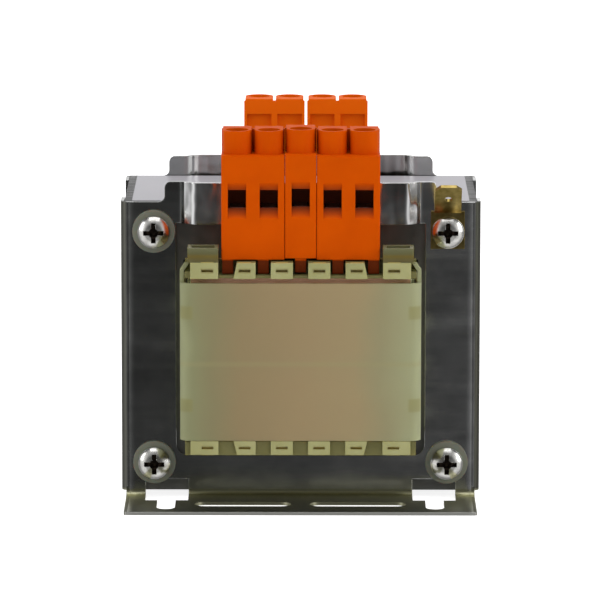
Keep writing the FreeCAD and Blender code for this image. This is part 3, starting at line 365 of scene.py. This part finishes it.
def sheet_steel():
    steel = finish("lamination_steel", (0.15, 0.15, 0.15), 0.9, 0.42)
    joints = bands(steel, "Y", SHEET, 0.4, 2.0)
    proud = noise(steel, 900.0, detail=2.0, stretch=(0.02, 1.0, 0.02))
    proud = ranged(steel, proud, 0.35, 0.65, 0.0, 1.0)
    edges = math_node(steel, "MULTIPLY_ADD", joints, 0.5, product(steel, proud, 0.5))
    facing = axes_of(steel, add_node(steel, "NewGeometry").outputs["Normal"])["Y"]
    flat = ranged(steel, math_node(steel, "ABSOLUTE", facing), 0.8, 0.95, 0.0, 1.0)
    paint(steel, blend(steel, flat, ramp(steel, edges, CUT_STEEL), ROLLED_STEEL))
    rust = noise(steel, 400.0, detail=5.0, stretch=(1.0, 0.1, 1.0))
    link(steel, ranged(steel, rust, *NOISE_SPAN, 0.34, 0.55), shader_of(steel).inputs["Roughness"])
    relief(steel, joints, 0.06 * MM, 0.7)
    return steel


dress(sheet_steel(), "e_laminations", "i_laminations")

# %% [markdown]
# ## Nylon of the bobbin
# Natural nylon is cream and lets light in. The bobbin is thick, so light scatters inside it:
# subsurface scattering fits. Light and shade are painted into its colour too: the teeth are
# painted lit and the walls behind them in painted shade. Each tooth has a slot with a painted
# light on its floor and a painted shade round it, fainter on the lower row. The corner posts
# stand above the upper rim, under the terminals, and are painted in shade with a warmer band.

# %% Teeth and slots
TOOTH_PITCH = 8.8 * MM
TOOTH_FRONT = 38.5 * MM
SLOT_HALF = 1.4 * MM
SLOT_DEPTH = 1.1 * MM
SLOT_MIDDLE = 36.68 * MM     # height half-way between the two rows of slots
SLOT_RISE = 21.22 * MM       # from there up or down to a row
RIM_INSIDE = 0.25 * MM
RIM_OUTSIDE = 0.75 * MM
# The painted shade round the slots is faint on the lower row and full on the upper.
LOWER_TEETH = 30.0 * MM      # below this a rim is faint
UPPER_TEETH = 40.0 * MM      # above this it is full
# A painted light on each slot's floor, and a painted shade round the slot.
SLOT_FLOOR_PAINTED_LIGHT = (0.52, 0.42, 0.12)
SLOT_PAINTED_SHADE = (0.22, 0.17, 0.05)


def slotted(nylon, axes, reach, body):
    """The body's colour with a painted light on each slot's floor and a painted shade round it."""
    step = math_node(nylon, "FRACT", math_node(nylon, "DIVIDE", axes["X"], TOOTH_PITCH))
    beside = within(nylon, product(nylon, off(nylon, step, 0.5), TOOTH_PITCH), SLOT_HALF)
    sunk = product(nylon, beside, within(nylon, reach, TOOTH_FRONT - 0.3 * MM),
                   past(nylon, reach, TOOTH_FRONT - SLOT_DEPTH - SOFT_STEP))
    body = blend(nylon, sunk, body, SLOT_FLOOR_PAINTED_LIGHT)
    off_row = off(nylon, off(nylon, axes["Z"], SLOT_MIDDLE), SLOT_RISE)
    rim = product(nylon, beside, ranged(nylon, off_row, RIM_INSIDE, RIM_OUTSIDE, 0.65, 0.0),
                  ranged(nylon, axes["Z"], LOWER_TEETH, UPPER_TEETH, 0.25, 1.0))
    return blend(nylon, rim, body, SLOT_PAINTED_SHADE)


print("bobbin: teeth", TOOTH_PITCH / MM, "mm apart, slots", 2.0 * SLOT_HALF / MM, "mm wide")

# %% Bobbin
POST_FOOT = 59.8 * MM
POST_TOP = 63.2 * MM
# Painted shade on the set-back walls, rising to a painted lit colour on the teeth.
WALL_SHADE_TO_LIT_TOOTH = [(0.0, (0.17, 0.16, 0.055)), (0.25, (0.22, 0.205, 0.075)),
                 (0.75, (0.36, 0.35, 0.15)), (1.0, (0.42, 0.41, 0.19))]
# The corner posts are painted in shade, with a warmer band part way up.
POST_PAINTED_SHADE = [(0.0, (0.14, 0.13, 0.06)), (0.25, (0.15, 0.12, 0.035)),
              (0.45, (0.17, 0.125, 0.025)), (0.62, (0.13, 0.125, 0.05)),
              (1.0, (0.17, 0.17, 0.085))]


def bobbin_nylon():
    nylon = finish("bobbin_nylon", (0.44, 0.42, 0.20), 0.0, 0.42, Subsurface_Weight=0.35,
                   Subsurface_Scale=1.2 * MM, Subsurface_Radius=(1.0, 0.85, 0.4),
                   Specular_IOR_Level=0.3)
    axes = axes_of(nylon, stretched(nylon))
    reach = math_node(nylon, "ABSOLUTE", axes["Y"])
    raised = ranged(nylon, reach, TOOTH_FRONT - 0.6 * MM, TOOTH_FRONT - 0.2 * MM, 0.0, 0.75)
    clouds = ranged(nylon, noise(nylon, 120.0), *NOISE_SPAN, 0.0, 0.25)
    body = ramp(nylon, math_node(nylon, "ADD", raised, clouds), WALL_SHADE_TO_LIT_TOOTH)
    rise = ranged(nylon, axes["Z"], POST_FOOT, POST_TOP, 0.0, 1.0)
    paint(nylon, blend(nylon, past(nylon, axes["Z"], POST_FOOT),
                       slotted(nylon, axes, reach, body), ramp(nylon, rise, POST_PAINTED_SHADE)))
    relief(nylon, noise(nylon, 2500.0, detail=1.0), 0.008 * MM, 0.5, edge=0.3 * MM)
    return nylon


dress(bobbin_nylon(), "bobbin")

# %% [markdown]
# ## Coil covers
# A cover is a millimetre thin and blurs what lies behind it, so it also transmits light through
# a rough surface. Where the wound tape stands close behind it, in the middle, it looks warmer.
# The partition between the two chambers shows as a faint line, and the catches behind the
# corners as darker spots.

# %% Cover
COVER_SIDE = 28.0 * MM
COVER_DRIFT = 1.5 * MM
PARTITION = 35.6 * MM
SCREW_MIDDLE = 36.8 * MM     # height half-way between upper and lower screws
CATCH_RISE = 11.1 * MM       # from there up or down to a catch
CATCH_SIDE = 25.2 * MM
CATCH_FRONT = 36.0 * MM
BEHIND_COVER = [(0.0, (0.57, 0.59, 0.35)), (0.045, (0.48, 0.49, 0.275)),
                (0.13, (0.475, 0.435, 0.24)), (0.24, (0.54, 0.435, 0.24)),
                (0.50, (0.595, 0.475, 0.268)), (0.74, (0.615, 0.51, 0.29)),
                (0.85, (0.555, 0.52, 0.305)), (0.95, (0.60, 0.61, 0.37)),
                (1.0, (0.64, 0.66, 0.41))]
PARTITION_LINE = (0.60, 0.56, 0.30)
CATCH_SPOT = (0.48, 0.45, 0.17)


def cover_nylon():
    nylon = finish("cover_nylon", (0.50, 0.47, 0.28), 0.0, 0.5, Transmission_Weight=0.55,
                   Specular_IOR_Level=0.3, IOR=1.25)
    axes = axes_of(nylon, stretched(nylon))
    drift = ranged(nylon, noise(nylon, 60.0, detail=2.0), *NOISE_SPAN, -COVER_DRIFT, COVER_DRIFT)
    across = math_node(nylon, "ADD", axes["X"], drift)
    across = ranged(nylon, across, -COVER_SIDE, COVER_SIDE, 0.0, 1.0)
    line = ranged(nylon, off(nylon, axes["Z"], PARTITION), 0.2 * MM, 0.9 * MM, 0.45, 0.0)
    colour = blend(nylon, line, ramp(nylon, across, BEHIND_COVER), PARTITION_LINE)
    off_catch = off(nylon, off(nylon, axes["Z"], SCREW_MIDDLE), CATCH_RISE)
    catch = product(nylon, ranged(nylon, off_catch, 1.3 * MM, 1.8 * MM, 0.6, 0.0),
                    past(nylon, math_node(nylon, "ABSOLUTE", axes["X"]), CATCH_SIDE, 0.6 * MM),
                    past(nylon, math_node(nylon, "ABSOLUTE", axes["Y"]), CATCH_FRONT, 1.5 * MM))
    paint(nylon, blend(nylon, catch, colour, CATCH_SPOT))
    relief(nylon, noise(nylon, 900.0, detail=2.0), 0.01 * MM, 0.4, edge=0.3 * MM)
    return nylon


dress(cover_nylon(), "front_coil_cover", "rear_coil_cover")

# %% [markdown]
# ## Windings and their tape
# Behind the cover lies insulating tape, pinkish brown, wound over copper wire. The turns of
# wire press through the tape, so a band texture along Z raises it slightly.

# %% Tape and copper
WIRE = 0.55 * MM


def wound(name, low, high, roughness):
    material = finish(name, low, 0.0, roughness)
    tint(material, noise(material, 90.0), [(0.3, low), (0.7, high)])
    relief(material, bands(material, "Z", WIRE, 0.6, 1.0), 0.1 * MM, 0.6)
    return material


tape = wound("winding_tape", (0.60, 0.32, 0.20), (0.72, 0.42, 0.28), 0.5)
copper = wound("copper_winding", (0.42, 0.16, 0.06), (0.55, 0.24, 0.10), 0.3)
dress(tape, "primary_tape", "secondary_tape")
dress(copper, "primary_winding", "secondary_winding")

# %% [markdown]
# ## Moulded terminal housings
# The housings are orange polyamide with a fine spark-eroded texture. A little red subsurface
# light gives their recesses the deep red that shows in the shade. The feet below the housings
# stand between the bobbin's teeth and are painted in shade. Deep in the wire entries of the front
# row a painted shade makes the plastic nearly black. The rear row is painted a shade lighter.

# %% Orange plastic
HOUSING_FLOOR = 60.1 * MM
HOUSING_FRONT = -35.9 * MM
POLE_PITCH = 7.5 * MM
ENTRY_MIDDLE = 74.15 * MM
ENTRY_HALF_WIDTH = 2.2 * MM
ENTRY_HALF_HEIGHT = 4.4 * MM
ENTRY_SHADE_START = HOUSING_FRONT + 0.1 * MM
ENTRY_SHADE_FULL = HOUSING_FRONT + 2.0 * MM
ENTRY_SHADE_END = -26.0 * MM
# Between the rows the colour changes to the rear row's painted light.
ROW_GAP = (5.0 * MM, 10.0 * MM)      # the finish changes between the rows, where nothing is
FRONT_ROW = [(0.3, (0.60, 0.075, 0.0)), (0.7, (0.65, 0.085, 0.0))]
# A painted light: the rear row is coloured lighter than the front row.
REAR_ROW_PAINTED_LIGHT = (0.82, 0.125, 0.003)
# Painted shade deep in the front row's wire entries.
ENTRY_PAINTED_SHADE = (0.12, 0.032, 0.016)
# Painted shade on the feet below the housings.
FOOT_SHADE = (0.16, 0.026, 0.005)


def entry_shade(orange, axes):
    """A mask of painted shade that grows with the depth of each wire entry of the front row."""
    shade = ranged(orange, axes["Y"], ENTRY_SHADE_START, ENTRY_SHADE_FULL, 0.0, 0.88)
    pole = math_node(orange, "PINGPONG", axes["X"], POLE_PITCH / 2.0)
    return product(orange, shade, within(orange, axes["Y"], ENTRY_SHADE_END, 1.0 * MM),
                   within(orange, pole, ENTRY_HALF_WIDTH),
                   within(orange, off(orange, axes["Z"], ENTRY_MIDDLE), ENTRY_HALF_HEIGHT))


def terminal_orange():
    orange = finish("terminal_orange", (0.62, 0.078, 0.0), 0.0, 0.45, Subsurface_Weight=0.12,
                    Subsurface_Scale=1.0 * MM, Subsurface_Radius=(1.0, 0.2, 0.03),
                    Specular_IOR_Level=0.02)
    axes = axes_of(orange, stretched(orange))
    colour = ramp(orange, noise(orange, 140.0), FRONT_ROW)
    rear = ranged(orange, axes["Y"], *ROW_GAP, 0.0, 1.0)
    foot = within(orange, axes["Z"], HOUSING_FLOOR - 0.3 * MM, 0.3 * MM)
    for mask, shade in ((rear, REAR_ROW_PAINTED_LIGHT), (entry_shade(orange, axes), ENTRY_PAINTED_SHADE),
                        (foot, FOOT_SHADE)):
        colour = blend(orange, mask, colour, shade)
    paint(orange, colour)
    relief(orange, noise(orange, 4000.0, detail=1.0), 0.006 * MM, 0.5, edge=0.25 * MM)
    return orange


dress(terminal_orange(), "terminal_front_left", "terminal_front_middle", "terminal_front_right",
      "terminal_rear_left", "terminal_rear_right")

# %% [markdown]
# ## Clamp screws
# Bright zinc on crowned heads, with a painted shade in the cross recess of each. The crown is a
# form and comes with the model, but it mirrors the studio too evenly. So a relief tilts the light
# on it a little more: it falls with the square of the distance from the screw's middle, and a
# fourth-power term levels it again toward the rim.

# %% Screw heads
SCREW_X = 35.0 * MM
SCREW_RISE = 28.0 * MM
HEAD_FACE = -25.5 * MM
RECESS_RADIUS = 2.45 * MM
CROWN_FALL = 0.126 / MM          # how fast the relief falls from the middle of a head
CROWN_FADE = 0.007 / MM ** 3     # how fast it levels out toward the rim
HEAD_ZINC = [(0.35, (0.62, 0.61, 0.58)), (0.65, (0.80, 0.79, 0.76))]
# A painted shade in each cross recess.
RECESS_PAINTED_SHADE = (0.08, 0.06, 0.045)
METAL_EDGE = 0.1 * MM


def screw_zinc():
    zinc = finish("screw_zinc", (0.76, 0.75, 0.72), 1.0, 0.22)
    axes = axes_of(zinc, stretched(zinc))
    aside = math_node(zinc, "SUBTRACT", math_node(zinc, "ABSOLUTE", axes["X"]), SCREW_X)
    above = math_node(zinc, "SUBTRACT", off(zinc, axes["Z"], SCREW_MIDDLE), SCREW_RISE)
    square = math_node(zinc, "MULTIPLY_ADD", aside, aside, product(zinc, above, above))
    inside = within(zinc, math_node(zinc, "SQRT", square), RECESS_RADIUS, 0.15 * MM)
    sunk = past(zinc, axes["Y"], HEAD_FACE + 0.25 * MM, 0.25 * MM)
    clouds = ramp(zinc, noise(zinc, 700.0, detail=4.0), HEAD_ZINC)
    paint(zinc, blend(zinc, product(zinc, inside, sunk), clouds, RECESS_PAINTED_SHADE))
    slope = math_node(zinc, "MULTIPLY_ADD", square, CROWN_FADE, -CROWN_FALL)
    relief(zinc, product(zinc, square, slope), 1.0, edge=METAL_EDGE)
    return zinc


dress(screw_zinc(), "clamp_screws")

# %% [markdown]
# ## Nuts, clamps and earth tab
# Bright zinc for the nuts and terminal screws, tinned steel for the clamp cages and contacts,
# brass for the earth tab. They differ in colour and gloss only, so one function makes all three.

# %% Small metal
def small_metal(name, dark, light, roughness):
    metal = finish(name, light, 1.0, roughness)
    tint(metal, noise(metal, 700.0, detail=4.0), [(0.35, dark), (0.65, light)])
    relief(metal, noise(metal, 3000.0, detail=2.0), 0.006 * MM, 0.5, edge=METAL_EDGE)
    return metal


bright_zinc = small_metal("bright_zinc", (0.62, 0.61, 0.58), (0.78, 0.77, 0.74), 0.16)
tinned = small_metal("tinned_metal", (0.30, 0.29, 0.28), (0.42, 0.41, 0.39), 0.3)
brass = small_metal("tab_brass", (0.40, 0.295, 0.085), (0.56, 0.43, 0.155), 0.3)
dress(bright_zinc, "clamp_nuts", "front_terminal_screws", "rear_terminal_screws")
dress(tinned, "front_clamp_cages", "rear_clamp_cages", "front_contacts", "rear_contacts")
dress(brass, "earth_tab")

# %% [markdown]
# ## Washers and label
# The washers are grey-green plastic, slightly see-through. The label is a plain lavender-grey
# film with a faint tooth, which a low relief gives it.

# %% Washers
washer_plastic = finish("washer_plastic", (0.20, 0.21, 0.16), 0.0, 0.35,
                        Subsurface_Weight=0.4, Subsurface_Scale=0.8 * MM)
relief(washer_plastic, noise(washer_plastic, 1500.0), 0.01 * MM, 0.5, edge=0.3 * MM)
dress(washer_plastic, "front_washers", "rear_washers")

# %% Label
LABEL_GREY = [(0.3, (0.42, 0.415, 0.445)), (0.7, (0.46, 0.45, 0.485))]

label_film = finish("label_film", (0.49, 0.48, 0.52), 0.0, 0.4)
tint(label_film, noise(label_film, 30.0), LABEL_GREY)
relief(label_film, noise(label_film, 800.0), 0.01 * MM, 0.3)
dress(label_film, "rating_label")

# %% [markdown]
# ## Floor
# The floor is plain and pale. What metal mirrors is the studio: dim behind the camera, bright at
# its two soft boxes, grey to the sides and white at the backdrop. One ramp over the Y of a
# direction holds that, for the world and for the floor, where a mirrored ray ends in the same
# studio. To the camera the paper also glows a little, so it stays pale without a hard shadow.

# %% The studio that metal mirrors
STUDIO = [(-1.0, 0.030), (-0.985, 0.043), (-0.93, 0.085), (-0.84, 0.17), (-0.70, 0.60),
          (-0.58, 0.95), (-0.35, 0.85), (-0.12, 0.25), (0.45, 0.30), (0.85, 1.0)]


def studio_light(owner, along_y, behind_camera=-1.0, backdrop=1.0):
    """How bright the studio is in a direction, by its Y behind the camera and at the backdrop."""
    stops = [((y + 1.0) / 2.0, brightness) for y, brightness in STUDIO]
    return ramp(owner, ranged(owner, along_y, behind_camera, backdrop, 0.0, 1.0), stops)


def joined(owner, kind, *sources):
    """A node whose inputs take the sources in turn, such as shaders that are added or mixed."""
    node = add_node(owner, kind)
    for socket, source in zip(node.inputs, sources):
        link(owner, source, socket)
    return node.outputs[0]


print("studio: brightness from", STUDIO[0][1], "behind the camera to", STUDIO[-1][1])

# %% Paper floor
WHITE = (1.0, 1.0, 1.0, 1.0)
FLOOR_HALF = 3.0
FLOOR_GLOW = 0.8


def floor_paper():
    paper = finish("floor_paper", (0.93, 0.93, 0.93), 0.0, 0.9)
    seen = add_node(paper, "LightPath").outputs
    glow = add_node(paper, "Emission", Color=WHITE)
    strength = ranged(paper, seen["Is Camera Ray"], 0.0, 1.0, 0.0, FLOOR_GLOW)
    link(paper, strength, glow.inputs["Strength"])
    glowing = joined(paper, "AddShader", shader_of(paper).outputs[0], glow.outputs[0])
    incoming = axes_of(paper, add_node(paper, "NewGeometry").outputs["Incoming"])["Y"]
    studio = add_node(paper, "Emission")
    mirrored = studio_light(paper, incoming, behind_camera=1.0, backdrop=-1.0)
    link(paper, mirrored, studio.inputs["Color"])
    surface = joined(paper, "MixShader", seen["Is Glossy Ray"], glowing, studio.outputs[0])
    link(paper, surface, paper.node_tree.nodes["Material Output"].inputs["Surface"])
    return paper


def floor():
    mesh = bpy.data.meshes.new("floor")
    sheet = bmesh.new()
    bmesh.ops.create_grid(sheet, x_segments=1, y_segments=1, size=FLOOR_HALF)
    sheet.to_mesh(mesh)
    sheet.free()
    mesh.materials.append(floor_paper())
    ground = bpy.data.objects.new("floor", mesh)
    bpy.context.scene.collection.objects.link(ground)
    print("floor:", 2.0 * FLOOR_HALF, "m square,", len(mesh.polygons), "face")


floor()

# %% [markdown]
# ## World
# The world could be one plain white, but then bright zinc would look like paper. So each kind of
# ray gets its own world: white for the camera and for what shows through thin nylon, the studio
# for mirrored rays, and an even, weaker white for what lights the part.

# %% World
CEILING = 0.35
CEILING_START = 0.2
CEILING_FULL = 0.8
FILL_LIGHT = 0.62


def studio_world():
    world = bpy.data.worlds.new("studio")
    bpy.context.scene.world = world
    world.use_nodes = True
    world.node_tree.nodes.clear()
    direction = axes_of(world, add_node(world, "TexCoord").outputs["Generated"])
    path = add_node(world, "LightPath").outputs
    mirrored = add_node(world, "Background")
    link(world, studio_light(world, direction["Y"]), mirrored.inputs["Color"])
    overhead = ranged(world, direction["Z"], CEILING_START, CEILING_FULL, 1.0, CEILING)
    link(world, overhead, mirrored.inputs["Strength"])
    fill = add_node(world, "Background", Color=WHITE, Strength=FILL_LIGHT)
    white = add_node(world, "Background", Color=WHITE, Strength=1.0)
    unseen = joined(world, "MixShader", path["Is Glossy Ray"], fill.outputs[0],
                    mirrored.outputs[0])
    seen = math_node(world, "MAXIMUM", path["Is Camera Ray"], path["Is Transmission Ray"])
    both = joined(world, "MixShader", seen, unseen, white.outputs[0])
    link(world, both, add_node(world, "OutputWorld").inputs["Surface"])
    print("world: fill light", FILL_LIGHT, "and a mirrored ceiling at", CEILING)


studio_world()

# %% [markdown]
# ## Lamps
# Three soft area lamps light the part itself, from above and from both sides, at a level where a
# colour looks as written. Large ones near by give the wide, faint edges of a light tent.

# %% Lamps
LIT_POINT = (0.0, 0.0, 0.05)
LAMPS = {
    "lamp_above": ((0.0, -0.15, 0.9), (0.8, 0.8), 3.0),
    "lamp_left": ((-0.95, -0.35, 0.45), (0.4, 0.7), 1.9),
    "lamp_right": ((0.95, -0.35, 0.40), (0.4, 0.7), 2.8),
}


def soft_lamp(name, place, size, watts):
    data = bpy.data.lights.new(name, "AREA")
    data.shape = "RECTANGLE"
    data.size, data.size_y = size
    data.energy = watts
    lamp = bpy.data.objects.new(name, data)
    lamp.location = place
    aim = Vector(LIT_POINT) - Vector(place)
    lamp.rotation_euler = aim.to_track_quat("-Z", "Y").to_euler()
    bpy.context.scene.collection.objects.link(lamp)
    print(name, "at", place, "m,", watts, "W")


for name, (place, size, watts) in LAMPS.items():
    soft_lamp(name, place, size, watts)

# %% [markdown]
# ## Camera
# The camera stands well back behind a long lens, a little above the part, so that what runs to
# the back hardly closes up. Its place, its three turns and its focal length in pixels were
# fitted together, until front, feet, top and both terminal rows agreed with one view.

# %% Camera
CAMERA_AT = (0.00134, -1.26376, 0.26017)
PITCH_DOWN = 9.687
TURN_LEFT = 0.069
ROLL = 0.058
SENSOR = 36.0
FOCAL_PIXELS = 5278.7
IMAGE_SIDE = 600.0

camera_data = bpy.data.cameras.new("camera")
camera_data.sensor_width = SENSOR
camera_data.lens = FOCAL_PIXELS * SENSOR / IMAGE_SIDE
camera_data.clip_start = 0.05
camera_data.clip_end = 20.0
camera = bpy.data.objects.new("camera", camera_data)
turns = ((TURN_LEFT, "Z"), (90.0 - PITCH_DOWN, "X"), (ROLL, "Z"))
camera.matrix_world = Matrix.Translation(CAMERA_AT)
for angle, axis in turns:
    camera.matrix_world = camera.matrix_world @ Matrix.Rotation(math.radians(angle), 4, axis)
bpy.context.scene.collection.objects.link(camera)
bpy.context.scene.camera = camera
bpy.context.scene.view_settings.view_transform = "Standard"
print("camera: lens", round(camera_data.lens, 1), "mm,", PITCH_DOWN, "degrees down")
